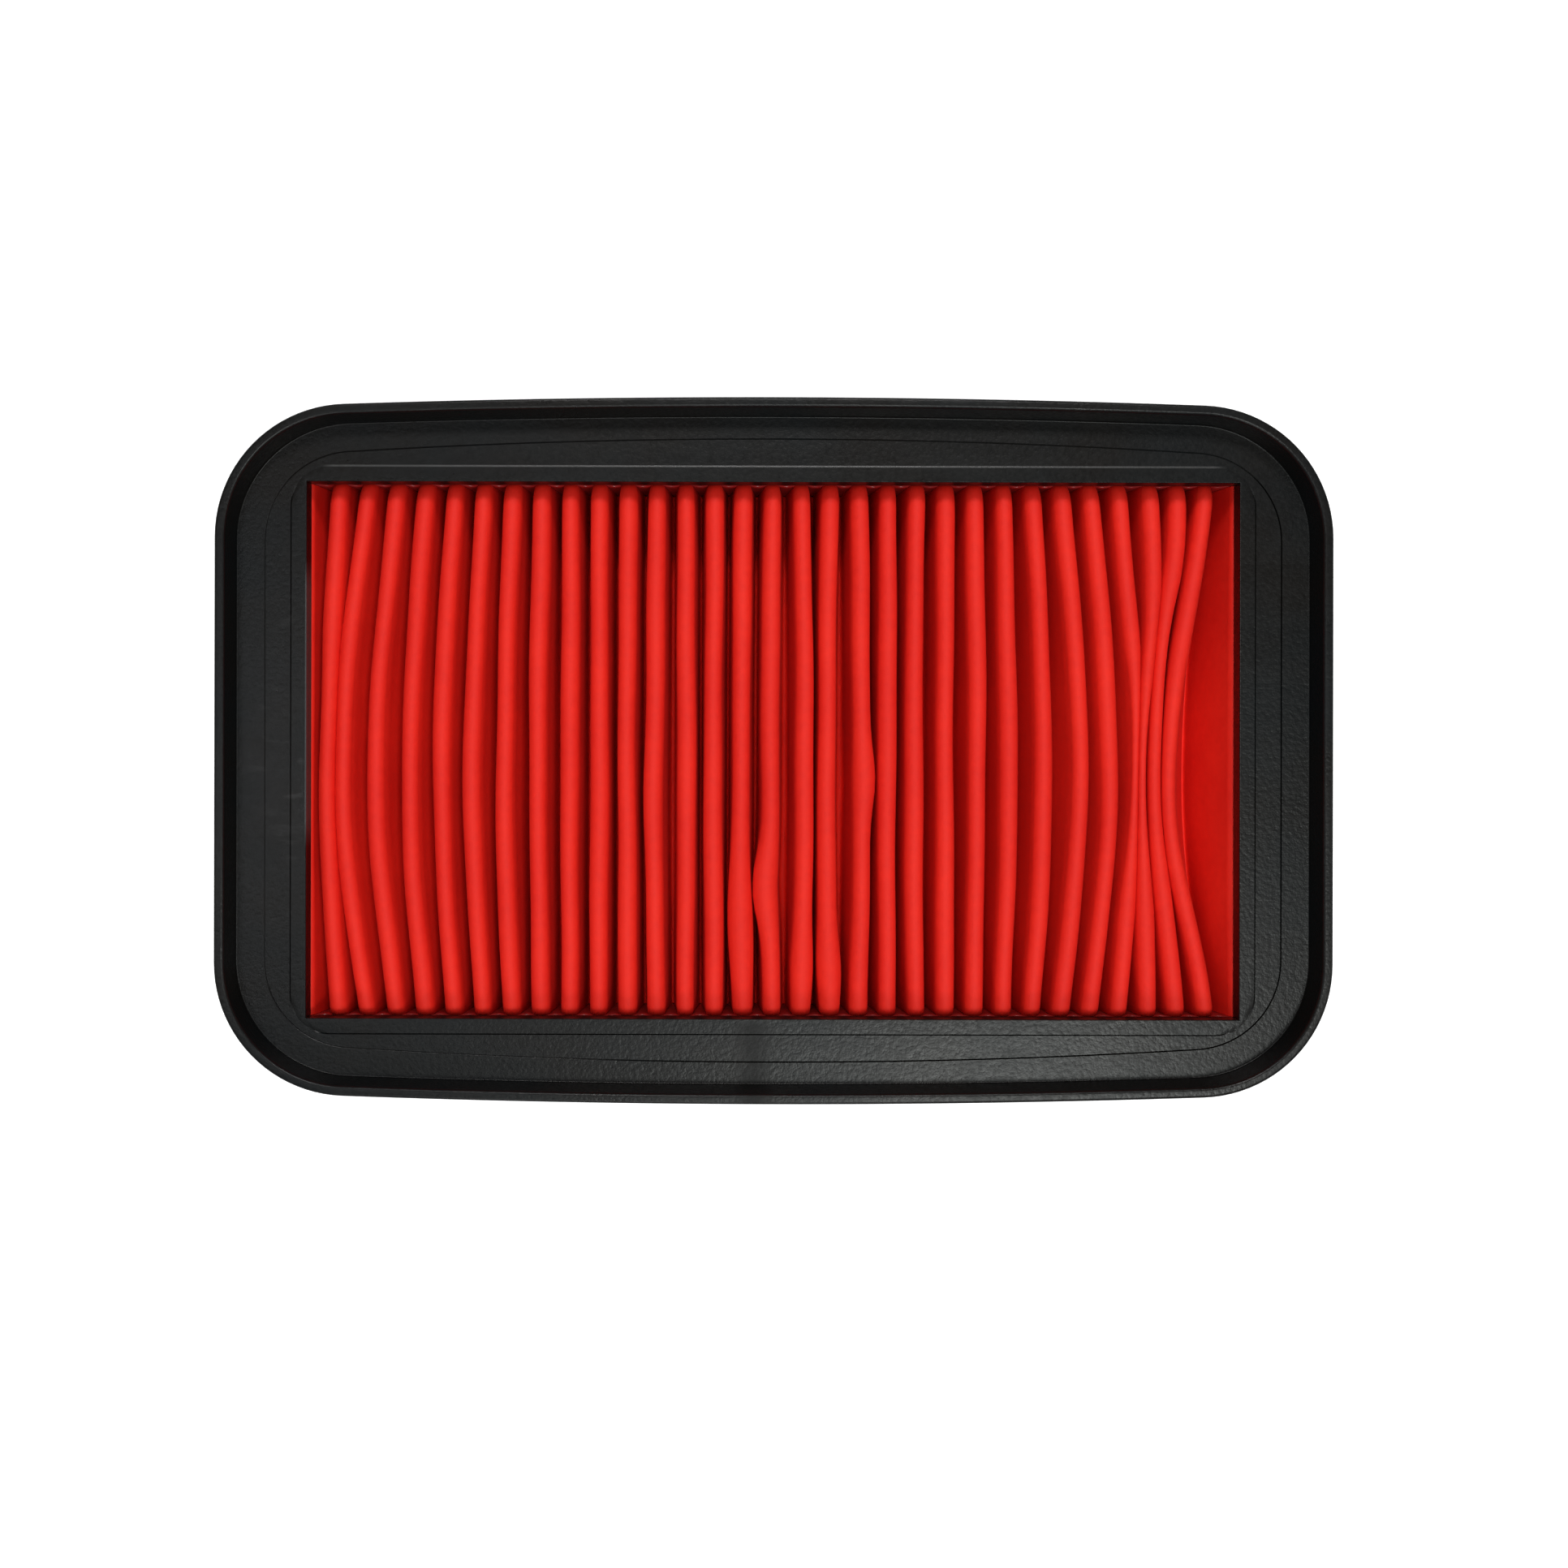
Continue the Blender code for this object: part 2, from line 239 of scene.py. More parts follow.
def makeLight(name, lamp):
    data = bpy.data.lights.new(name, "AREA")
    data.shape = "RECTANGLE"
    data.size, data.size_y = lamp["size"]
    data.energy = lamp["power"]
    data.color = lamp["tint"]
    obj = bpy.data.objects.new(name, data)
    obj.location = lamp["at"]
    target = Vector((0.0, 0.0, cadHigh.z))
    obj.rotation_euler = (target - obj.location).to_track_quat("-Z", "Y").to_euler()
    bpy.context.scene.collection.objects.link(obj)


studio = {
    "floorHalf": 3.0,  # metres
    "floorDrop": 0.1,  # millimetres under the rear face, so that the two don't lie in one plane
    "floorGrey": 0.86,
    "floorGlow": 0.70,
    "worldLight": 0.12,
}


def makeFloor():
    grey = studio["floorGrey"]
    finish = Finish("paleFloor", {"Roughness": 0.9, "Emission Strength": studio["floorGlow"]})
    finish.feed("Base Color", (grey, grey, grey, 1.0))
    finish.feed("Emission Color", (1.0, 1.0, 1.0, 1.0))
    fromBelow = finish.add("ShaderNodeNewGeometry", {}, {}, "Backfacing")
    finish.feed("Alpha", 1.0 - fromBelow)  # clear from below, so that the rear face can be seen
    bm = bmesh.new()
    place = Matrix.Translation((0.0, 0.0, -studio["floorDrop"] * mm))
    bmesh.ops.create_grid(bm, x_segments=1, y_segments=1, size=studio["floorHalf"], matrix=place)
    data = bpy.data.meshes.new("floor")
    bm.to_mesh(data)
    bm.free()
    data.materials.append(finish.material)
    floor = bpy.data.objects.new("floor", data)
    bpy.context.scene.collection.objects.link(floor)


def makeWorld():
    world = bpy.data.worlds.new("studio")
    world.use_nodes = True
    sky = world.node_tree.nodes["Background"]
    sky.inputs["Color"].default_value = (1.0, 1.0, 1.0, 1.0)
    sky.inputs["Strength"].default_value = studio["worldLight"]
    bpy.context.scene.world = world
    bpy.context.scene.view_settings.view_transform = "Standard"


marks = {  # places in metres of the marks and painted highlights on the moulded plastic
    "wornX": -0.0735,  # rubbed patch beside the left end of the opening
    "streakX": -0.003,  # dull streak across the lower side of the tray
    "bezelHighlightY": 0.0433,  # painted highlight along the upper edge of the bezel's step
    "edgeHighlightX": -0.07118,  # painted highlight on the rounded left edge of the opening
    "edgeHighlightY": 0.007,  # middle of that painted highlight
}


def blackPlastic():
    finish = Finish("blackPlastic", {"IOR": 1.30})
    cloud = finish.noise(60.0, 3.0)
    grain = finish.noise(1700.0, 3.0)
    flow = finish.noise(170.0, 2.0, (0.2, 1.8, 1.0))
    scuffs = finish.ramp(finish.noise(330.0, 4.0, (0.5, 1.6, 1.0)), [(0.56, 0.0), (0.66, 1.0)])
    x, y, z = finish.axes()
    worn = (x - marks["wornX"]).size() + (y * 0.25).size()
    worn = finish.ramp(worn * 100.0, [(0.15, 1.0), (0.75, 0.0)])
    onTray = finish.ramp(z * 10.0, [(0.215, 0.0), (0.22, 1.0)])
    streak = finish.ramp((x - marks["streakX"]).size() * 100.0, [(0.05, 1.0), (0.35, 0.0)])
    streak = streak * finish.ramp(0.0 - y * 10.0, [(0.41, 0.0), (0.42, 1.0)]) * onTray
    # painted highlight: a pale line along the bezel's upper step, standing in for the light its edge catches
    bezelHighlight = finish.ramp((y - marks["bezelHighlightY"]).size() * 1000.0, [(0.10, 1.0), (0.22, 0.0)])
    bezelHighlight = bezelHighlight * finish.ramp(x.size() * 10.0, [(0.67, 1.0), (0.69, 0.0)])
    # painted highlight: a thin pale line on the opening's left edge, standing in for light that the rounded
    # edge catches
    edge = finish.ramp((x - marks["edgeHighlightX"]).size() * 1000.0, [(0.10, 1.0), (0.16, 0.0)])
    edge = edge * finish.ramp((y - marks["edgeHighlightY"]).size() * 10.0, [(0.18, 1.0), (0.22, 0.0)])
    # lightens the base colour with the real scuffs on the worn patch and with the two painted highlights
    scuffsAndHighlights = (scuffs * worn * 0.3).most(bezelHighlight * 0.7).most(edge)
    warm = (0.0052, 0.0044, 0.0038, 1.0)
    cool = (0.0036, 0.0044, 0.0048, 1.0)
    plain = finish.blend(finish.ramp(cloud, [(0.35, 0.0), (0.65, 1.0)]), warm, cool)
    finish.feed("Base Color", finish.blend(scuffsAndHighlights, plain, (0.055, 0.055, 0.055, 1.0)))
    finish.feed("Roughness", 0.15 + 0.10 * cloud + 0.08 * flow + 0.18 * grain + 0.16 * streak)
    finish.bump(grain * 0.8 + flow * 0.2, 0.00007, 0.8)
    return finish.material


def gridPlastic():
    finish = Finish("gridPlastic", {"IOR": 1.46})
    cloud = finish.noise(90.0, 3.0)
    grain = finish.noise(1800.0, 2.0)
    finish.feed("Base Color", finish.blend(cloud, (0.012, 0.012, 0.013, 1.0), (0.020, 0.020, 0.021, 1.0)))
    finish.feed("Roughness", 0.40 + 0.15 * cloud)
    finish.bump(grain, 0.00003, 0.6)
    return finish.material


def redCloth():
    finish = Finish("redCloth", {"IOR": 1.45, "Specular IOR Level": 0.40})
    fibres = finish.noise(2400.0, 4.0, (1.0, 0.35, 1.0))
    felt = finish.noise(700.0, 3.0)
    patches = finish.noise(70.0, 2.0)
    shade = patches * 0.6 + felt * 0.4
    shade = finish.ramp(shade, [(0.3, 0.0), (0.7, 1.0)])
    finish.feed("Base Color", finish.blend(shade, (0.72, 0.009, 0.003, 1.0), (0.84, 0.017, 0.006, 1.0)))
    finish.feed("Roughness", 0.62 + 0.12 * felt)
    finish.bump(fibres * 0.5 + felt * 0.5, 0.00006, 0.6)
    return finish.material


def bandCloth():
    finish = Finish("bandCloth", {"IOR": 1.45, "Coat Roughness": 0.2})
    felt = finish.noise(900.0, 3.0)
    soak = finish.noise(260.0, 2.0)
    finish.feed("Base Color", finish.blend(soak, (0.16, 0.003, 0.003, 1.0), (0.34, 0.006, 0.005, 1.0)))
    finish.feed("Coat Weight", finish.ramp(soak, [(0.45, 0.0), (0.6, 0.7)]))
    finish.feed("Roughness", 0.45 + 0.2 * felt)
    finish.bump(felt, 0.00008, 0.6)
    return finish.material


def glueFinish():
    finish = Finish("redGlue", {"IOR": 1.5, "Coat Roughness": 0.2, "Coat Weight": 0.35})
    lumps = finish.noise(420.0, 2.0)
    finish.feed("Base Color", finish.blend(lumps, (0.10, 0.002, 0.003, 1.0), (0.26, 0.008, 0.008, 1.0)))
    finish.feed("Roughness", 0.15 + 0.2 * lumps)
    finish.bump(lumps, 0.0002, 0.5)
    return finish.material


def sealFoam():
    finish = Finish("sealFoam", {"IOR": 1.45})
    pores = finish.cells(1500.0)
    cloud = finish.noise(120.0, 3.0)
    finish.feed("Base Color", finish.blend(cloud, (0.018, 0.018, 0.019, 1.0), (0.032, 0.032, 0.033, 1.0)))
    finish.feed("Roughness", 0.80 + 0.15 * cloud)
    finish.bump(pores, 0.00015, 0.7)
    return finish.material


frameShape = {
    "cornerRadius": 20.0,
    "sideBow": 1.1,
    "cornerSteps": 22,
    "bowSteps": 16,
    "rimWall": 1.5,
    "rimDraft": 0.7,
    "footRadius": 0.2,  # where the rim meets the tray
    "footSteps": 4,
    "rimRound": 0.42,  # of the rim's upper edges
    "rimRoundSteps": 4,
    "trayDepth": 5.0,
    "flange": 2.0,
    "skirtDrop": 1.5,
    "endFlange": 12.9,
    "sideFlange": 11.1,
    "bezelWidth": 2.3,
    "bezelHeight": 0.14,
    "grooveWidth": 0.2,  # the fine line beside the bezel
    "grooveDepth": 0.38,
    "grooveUpper": 0.05,  # along the upper side it is a low ramp instead
    "bezelCorner": 6.0,
    "bezelCornerSteps": 8,
    "bezelCuts": 19,  # along each side, for its step to die out smoothly
    "bezelPlain": 3.0,  # length without a step at each corner
    "bezelFade": 4.0,  # and the length over which the step dies out
    "lipDepth": 3.6,
    "lipOverhang": 0.7,
    "boxWall": 1.8,
    "boxCorner": 3.0,
    "boxCornerSteps": 7,
    "boxRound": 0.35,  # of the box's edges at the rear face
    "boxRoundSteps": 3,
    "lineInset": 6.4,  # fine tool line that follows the rim
    "lineBow": 0.9,
    "lineWidth": 0.22,
    "lineDepth": 0.32,
    "lineFade": 0.8,  # of its depth, lost towards the left
    "lineFadeUpper": 0.64,  # and on the upper side
    "lineFadeLength": 30.0,  # leftwards from the middle
    "edgeRadius": 0.16,  # of the opening's upper edge
    "edgeSteps": 3,
    "windowHalf": 4.3,  # windows in the box walls, for the grid's tabs
    "windowLow": 0.4,
    "windowHigh": 2.2,
    "sideWindows": 3,
    "endWindows": 1,
    "weld": 0.001,  # corners that are nearer than this are joined
    "sharpEdge": 50.0,  # degrees, from which an edge gets rounded
}


def outerHalves():
    return (cadHigh.x - cadLow.x) / 2 / mm, (cadHigh.y - cadLow.y) / 2 / mm


def outlineFace(bm, z):
    # a quarter of the outline, spun round its corner and along its bowed side, then mirrored twice
    halfX, halfY = outerHalves()
    radius, bow = frameShape["cornerRadius"], frameShape["sideBow"]
    cornerX = halfX - radius
    bowRadius = (cornerX**2 + bow**2) / (2 * bow)
    bowY = halfY - bowRadius
    cornerY = bowY + math.sqrt((bowRadius - radius) ** 2 - cornerX**2)
    lean = math.asin(cornerX / (bowRadius - radius))
    start = bm.verts.new((halfX, 0.0, z))
    drawn = bmesh.ops.extrude_vert_indiv(bm, verts=[start])
    corner = drawn["verts"][0]
    corner.co.y = cornerY
    up = (0.0, 0.0, 1.0)
    turned = bmesh.ops.spin(bm, geom=[corner], cent=(cornerX, cornerY, z), axis=up,
                            angle=math.pi / 2 - lean, steps=frameShape["cornerSteps"])
    last = [item for item in turned["geom_last"] if isinstance(item, bmesh.types.BMVert)]
    bmesh.ops.spin(bm, geom=last, cent=(0.0, bowY, z), axis=up, angle=lean, steps=frameShape["bowSteps"])
    for axis in ("X", "Y"):
        bmesh.ops.mirror(bm, geom=bm.verts[:] + bm.edges[:], axis=axis, merge_dist=frameShape["weld"])
    bmesh.ops.remove_doubles(bm, verts=bm.verts, dist=frameShape["weld"])
    return upFace(bm, bm.edges[:])


def upFace(bm, edges):
    face = bmesh.ops.contextual_create(bm, geom=edges)["faces"][0]
    face.normal_update()
    if face.normal.z < 0.0:
        face.normal_flip()
    return face


def rectangleFace(bm, halfX, halfY, z):
    place = Matrix.Translation((0.0, 0.0, z)) @ Matrix.Diagonal((halfX, halfY, 1.0, 1.0))
    made = bmesh.ops.create_grid(bm, x_segments=1, y_segments=1, size=1.0, matrix=place)
    return made["verts"][0].link_faces[0]


def roundedFace(bm, halfX, halfY, z, radius, steps, cuts=0):
    corners = rectangleFace(bm, halfX, halfY, z).verts[:]
    rounded = bmesh.ops.bevel(bm, geom=corners, offset=radius, segments=steps, profile=0.5,
                              affect="VERTICES", material=-1)
    face = rounded["verts"][0].link_faces[0]
    if cuts:
        long = [edge for edge in face.edges if edge.calc_length() > radius]
        bmesh.ops.subdivide_edges(bm, edges=long, cuts=cuts)
        middle = Vector((0.0, 0.0, z))
        face = min(bm.faces, key=lambda other: (other.calc_center_median() - middle).length)
    return face


def sinkRounded(bm, face, radius, steps, hollow):
    # rings that sink one face round a quarter circle: a hollow fillet, or the round edge of a hole
    for step in range(steps):
        first, last = (math.pi / 2 * (step + more) / steps for more in (0, 1))
        across = radius * (math.sin(last) - math.sin(first))
        down = radius * (math.cos(first) - math.cos(last))
        if hollow:
            across, down = down, across
        inset(bm, face, across, -down)


def openUp(bm, face):
    # takes a face away and gives the corners of the hole, in order
    corners = list(face.verts)
    bmesh.ops.delete(bm, geom=[face], context="FACES_ONLY")
    return corners


def fillRing(bm, outer, inner):
    # triangles between two loops of corners, none of them across the inner loop's hole
    corners = outer + inner
    split = len(outer)
    loops = (list(range(split)), list(range(split, len(corners))))
    sides = [pair for loop in loops for pair in zip(loop, loop[1:] + loop[:1])]
    filled = delaunay_2d_cdt([corner.co.to_2d() for corner in corners], sides, [], 0, 0.00001)
    for triangle in filled[2]:
        given = [filled[3][index][0] for index in triangle]
        if min(given) < split:
            bm.faces.new([corners[index] for index in given])


def bowLine(face):
    # the tool line bows out more than the rim does
    halfX, halfY = outerHalves()
    straight = halfX - frameShape["cornerRadius"]
    for vert in face.verts:
        if abs(vert.co.x) < straight and abs(vert.co.y) > halfY / 2:
            bow = frameShape["lineBow"] * (1.0 - (vert.co.x / straight) ** 2)
            vert.co.y += math.copysign(bow, vert.co.y)


def windowFaces(bm, axis, side, along, wallIn, wallOut):
    # the faces of one box wall that lie where the window goes
    level = (frameShape["windowLow"] + frameShape["windowHigh"]) / 2
    slack = 0.1
    found = []
    for face in bm.faces:
        place = side * face.calc_center_median()[axis]
        if abs(face.normal[axis]) > 0.9 and wallIn - slack < place < wallOut + slack:
            alongs = [vert.co[1 - axis] for vert in face.verts]
            heights = [vert.co.z for vert in face.verts]
            if min(alongs) < along < max(alongs) and min(heights) < level < max(heights):
                found.append(face)
    return found


def cutWindow(bm, axis, side, along, wallIn, wallOut):
    # one window through a box wall, with its four reveals
    half = frameShape["windowHalf"]
    cuts = [(1 - axis, along - half), (1 - axis, along + half)]
    cuts += [(2, frameShape["windowLow"]), (2, frameShape["windowHigh"])]
    for direction, place in cuts:
        normal = Vector((0.0, 0.0, 0.0))
        normal[direction] = 1.0
        faces = windowFaces(bm, axis, side, along, wallIn, wallOut)
        parts = dict.fromkeys(item for face in faces for item in (*face.edges, *face.verts))
        bmesh.ops.bisect_plane(bm, geom=faces + list(parts), plane_co=normal * place, plane_no=normal,
                               dist=frameShape["weld"] / 10)
        bm.normal_update()
    pair = windowFaces(bm, axis, side, along, wallIn, wallOut)
    around = [edge for face in pair for edge in face.edges]
    bmesh.ops.delete(bm, geom=pair, context="FACES_ONLY")
    bmesh.ops.bridge_loops(bm, edges=around)


def cutWindows(bm, wallX, wallY):
    thick = frameShape["boxWall"]
    for axis, count, room, wall in ((1, "sideWindows", wallX, wallY), (0, "endWindows", wallY, wallX)):
        for index in range(frameShape[count]):
            along = 2 * (room - thick) * ((index + 0.5) / frameShape[count] - 0.5)
            for side in (-1, 1):
                cutWindow(bm, axis, side, along, wall - thick, wall)


def levels():
    # the heights that the frame's parts share
    top = cadHigh.z / mm
    floorZ = top - frameShape["trayDepth"]
    underZ = floorZ - frameShape["flange"]
    bezelZ = floorZ + frameShape["bezelHeight"]
    return {"top": top, "floor": floorZ, "under": underZ, "skirt": underZ - frameShape["skirtDrop"],
            "bezel": bezelZ, "lip": bezelZ - frameShape["lipDepth"]}


def openingHalves():
    halfX, halfY = outerHalves()
    return halfX - frameShape["endFlange"], halfY - frameShape["sideBow"] - frameShape["sideFlange"]


def shapeRim(bm, skirt):
    # the rim's wall and the tray as far in as the tool line; gives the loop that the tray is filled from
    shape, at = frameShape, levels()
    openY = openingHalves()[1]
    face = raiseFace(bm, skirt, at["top"] - at["skirt"], keep=True)
    inset(bm, face, shape["rimWall"])
    inset(bm, face, shape["rimDraft"], shape["footRadius"] - shape["trayDepth"])
    sinkRounded(bm, face, shape["footRadius"], shape["footSteps"], hollow=True)
    inset(bm, face, shape["lineInset"] - shape["rimWall"] - shape["rimDraft"] - shape["footRadius"])
    bowLine(face)
    inset(bm, face, shape["lineWidth"] / 2, -shape["lineDepth"])
    for vert in face.verts:
        lost = shape["lineFade"] * smoothStep(-vert.co.x / shape["lineFadeLength"])
        if vert.co.y > openY:
            lost = shape["lineFadeUpper"]
        vert.co.z += shape["lineDepth"] * lost
    inset(bm, face, shape["lineWidth"] / 2, shape["lineDepth"])
    for vert in face.verts:
        vert.co.z = at["floor"]
    return openUp(bm, face)


def shapeSkirt(bm, skirt):
    # the hollow under the flange, inside the skirt; gives the loop round the flange's underside
    at = levels()
    skirt.normal_flip()
    inset(bm, skirt, frameShape["rimWall"])
    return openUp(bm, raiseFace(bm, skirt, at["under"] - at["skirt"]))


def shapeBezel(bm, foot, bezelX, bezelY):
    # the fine groove and the low step of the bezel, which die out before each corner
    # gives the loop round its foot and the loop along its top
    shape, at = frameShape, levels()
    openY = openingHalves()[1]
    start = 0.01  # a first height, until each loop gets its own
    bezel = raiseFace(bm, foot, start, keep=True)
    footLoop = openUp(bm, foot)
    inset(bm, bezel, shape["grooveWidth"])
    grooveLoop = list(bezel.verts)
    bezelLoop = openUp(bm, raiseFace(bm, bezel, shape["bezelHeight"] - start))

    def raised(vert):
        away = max(bezelX - abs(vert.co.x), bezelY - abs(vert.co.y))
        return smoothStep((away - shape["bezelPlain"]) / shape["bezelFade"])

    for vert in footLoop:
        vert.co.z = at["floor"]
    for vert in grooveLoop:
        lowest = shape["grooveUpper"] if vert.co.y > openY else -shape["grooveDepth"]
        vert.co.z = at["floor"] + lowest * raised(vert)
    for vert in bezelLoop:
        vert.co.z -= shape["bezelHeight"] * (1.0 - raised(vert))
    return footLoop, bezelLoop


def shapeOpening(bm, opening):
    # the rounded edge and the wall of the opening; gives its upper and lower loops
    at = levels()
    radius = frameShape["edgeRadius"]
    upper = list(opening.verts)
    sinkRounded(bm, opening, radius, frameShape["edgeSteps"], hollow=False)
    lower = openUp(bm, raiseFace(bm, opening, at["lip"] + radius - at["bezel"]))
    return upper, lower


def shapeBox(bm, foot):
    # the box walls behind the flange; gives the loops at the flange and under the lip
    at = levels()
    box = raiseFace(bm, foot, -at["under"], keep=True)
    outer = openUp(bm, foot)
    if box.normal.z > 0.0:
        box.normal_flip()
    inset(bm, box, frameShape["boxWall"])
    return outer, openUp(bm, raiseFace(bm, box, at["lip"]))


def makeFrame(finish):
    shape, at = frameShape, levels()
    openX, openY = openingHalves()
    bezelX, bezelY = openX + shape["bezelWidth"], openY + shape["bezelWidth"]
    boxOut = shape["lipOverhang"] + shape["boxWall"]
    wallX, wallY = openX + boxOut, openY + boxOut
    bm = bmesh.new()
    outlineFace(bm, at["skirt"])
    bezelFoot = roundedFace(bm, bezelX + shape["grooveWidth"], bezelY + shape["grooveWidth"], at["floor"],
                            shape["bezelCorner"], shape["bezelCornerSteps"], shape["bezelCuts"])
    boxFoot = roundedFace(bm, wallX, wallY, at["under"], shape["boxCorner"], shape["boxCornerSteps"])
    opening = rectangleFace(bm, openX + shape["edgeRadius"], openY + shape["edgeRadius"], at["bezel"])
    skirt = max(bm.faces, key=lambda face: face.calc_area())

    landLoop = shapeRim(bm, skirt)
    underLoop = shapeSkirt(bm, skirt)
    footLoop, bezelLoop = shapeBezel(bm, bezelFoot, bezelX, bezelY)
    openLoop, lipLoop = shapeOpening(bm, opening)
    boxLoop, boxInLoop = shapeBox(bm, boxFoot)
    fillRing(bm, landLoop, footLoop)
    fillRing(bm, bezelLoop, openLoop)
    fillRing(bm, boxInLoop, lipLoop)
    fillRing(bm, underLoop, boxLoop)
    bmesh.ops.remove_doubles(bm, verts=bm.verts, dist=shape["weld"])
    bmesh.ops.recalc_face_normals(bm, faces=bm.faces)
    cutWindows(bm, wallX, wallY)
    bmesh.ops.recalc_face_normals(bm, faces=bm.faces)
    roundEdges(bm, at["top"], shape["rimRound"], shape["rimRoundSteps"])
    roundEdges(bm, 0.0, shape["boxRound"], shape["boxRoundSteps"])
    print("frame: open edges", sum(1 for edge in bm.edges if len(edge.link_faces) != 2))
    piece = finishPiece("frame_moulding", bm, finish, ["frame"], sharpAngle=28.0)
    piece.modifiers.new("evenNormals", "WEIGHTED_NORMAL").keep_sharp = True


def roundEdges(bm, z, radius, steps):
    # rounds the sharp edges that lie at one height
    edges = []
    for edge in bm.edges:
        level = all(abs(vert.co.z - z) < 0.01 for vert in edge.verts)
        if level and len(edge.link_faces) == 2:
            if edge.calc_face_angle() > math.radians(frameShape["sharpEdge"]):
                edges.append(edge)
    bmesh.ops.bevel(bm, geom=edges, offset=radius, segments=steps, profile=0.5, affect="EDGES", material=-1,
                    clamp_overlap=True)


pleat = {
    "pitch": 4.46,
    "cloth": 0.5,  # thickness
    "pastBox": 1.5,  # how far the folds go on past their packed box, as far as the side bands
    "crestHalf": 1.42,
    "crestSpread": 74.0,  # degrees each side of straight up
    "crestRise": 1.15,
    "crestLeast": 0.55,  # least half width, where the neighbours pinch a crest
    "crestRoom": 0.51,  # share of the way to a neighbour that a crest may fill
    "crestUneven": [0.18, 1.9],  # most that a crest stands lower, and its angle from crest to crest
    "flankHollow": 0.4,
    "footHalf": 1.72,
    "footShare": 0.45,  # how much of a crest's bow its foot follows
    "footStep": 0.3,  # least step from one foot to the next
    "valleyDepth": 1.0,
    "bowMiddle": -4.5,
    "tipRound": [1.2, 3.2],  # at the lower and at the upper wall
    "tipDrop": 1.7,
    "tipNarrow": 0.38,
    # slow waves along each crest: size, angle per millimetre, angle from crest to crest
    "drift": [(0.07, 0.11, 2.3), (0.05, 0.23, 1.1)],
    "swell": (0.05, 0.09, 1.7),
    "leafOut": 0.58,  # the end leaves stand against the beads of glue on the end walls
    "leafDrop": 0.5,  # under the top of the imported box
    "leafWave": [0.03, 0.15],  # size, angle per millimetre
    "leafFoot": 1.1,  # from the foot of the next crest
    "leafBow": 1.3,  # 1.0 is a straight leaf
    "leafBulge": 0.9,  # more bow near the lower corner
    "leafBulgeFrom": -8.0,
    "leafBulgeRun": 24.0,
    "leafRoom": 1.0,  # past the leaf, for the crest beside it
    "rows": 52,
    "crestSteps": 9,
    "flankSteps": 4,
    "valleySteps": 5,
    # how far each crest's middle is pushed along the filter, from the left end
    "bows": [-1.9, -4.0, -3.3, -2.5, -2.1, -1.8, -1.3, -0.6, -0.1, 0.0, -0.2, -0.4, 0.1, -0.2, -0.4, -0.3,
             0.6, -0.5, 0.5, 0.0, -0.4, 0.0, 0.5, 0.9, 1.9, 3.0, 3.1, 2.3, -0.9, -3.3, -5.6],
    "bowPower": [1.1, 1.5],  # of an even bow, and of a crest that is pinched
    "pinchedFrom": 28,  # counted from 0
}

bulges = [  # crest counted from 1, place along it, its half length, shift, widening
    (12, -8.0, 9.0, -0.15, 0.15),
    (15, -27.0, 10.0, -0.15, 0.60),
    (16, -21.0, 6.5, -0.85, 0.75),
    (17, -34.0, 7.0, 0.0, 0.45),
    (18, -34.0, 6.0, 0.15, 0.50),
    (19, -4.5, 5.5, 0.35, 0.50),
    (29, 24.0, 14.0, 1.3, 0.0),
    (29, -27.0, 12.0, 0.3, 0.0),
    (28, 8.0, 16.0, 0.5, 0.0),
    (30, 31.0, 9.0, 0.5, 0.0),
]


def hump(offset, half):
    return math.exp(-((offset / half) ** 2))


def slowWave(values, y, index):
    size, along, across = values
    return size * math.sin(along * y + across * index)


def crestAt(index, base, y, halfY):
    # where one crest stands, how wide it is and how high, at one place along it
    bow = pleat["bows"][index]
    middle = pleat["bowMiddle"]
    reach = (y - middle) / ((halfY - middle) if y > middle else (halfY + middle))
    power = pleat["bowPower"][1 if index >= pleat["pinchedFrom"] else 0]
    share = max(0.0, math.cos(math.pi / 2 * max(-1.0, min(1.0, reach)))) ** power
    drift = sum(slowWave(values, y, index) for values in pleat["drift"])
    lean = bow * share
    half = pleat["crestHalf"] * (1.0 + slowWave(pleat["swell"], y, index))
    for crest, place, length, shift, wide in bulges:
        if crest == index + 1:
            lean += shift * hump(y - place, length)
            half += wide * hump(y - place, length)
    return base + lean + drift * (1.0 - abs(reach) ** 4), base + pleat["footShare"] * lean, half


def crestArc(x, topZ, half):
    # the rounded top of a pleat, which leans out a little where its flanks begin
    spread = math.radians(pleat["crestSpread"])
    points = []
    for step in range(pleat["crestSteps"]):
        angle = spread * (2.0 * step / (pleat["crestSteps"] - 1) - 1.0)
        drop = pleat["crestRise"] * half * (1.0 - math.cos(angle))
        points.append((x + half * math.sin(angle), topZ - drop))
    return points


def valleyArc(fromX, toX, footZ):
    # the rounded bottom between one foot and the next
    middle, half = (fromX + toX) / 2, (toX - fromX) / 2
    points = []
    for step in range(pleat["valleySteps"]):
        angle = math.pi * (1.0 - step / (pleat["valleySteps"] - 1))
        points.append((middle + half * math.cos(angle), footZ - pleat["valleyDepth"] * math.sin(angle)))
    return points


def bentLine(start, end, steps, bend):
    # the points between two folds, moved sideways by bend
    points = []
    for step in range(1, steps + 1):
        share = step / (steps + 1)
        points.append((start[0] + (end[0] - start[0]) * bend(share), start[1] + (end[1] - start[1]) * share))
    return points


def flank(start, end):
    # the cloth between a foot and a crest, a little hollow
    hollow = pleat["flankHollow"]
    return bentLine(start, end, pleat["flankSteps"],
                    lambda share: (1.0 - hollow) * share + hollow * smoothStep(share))


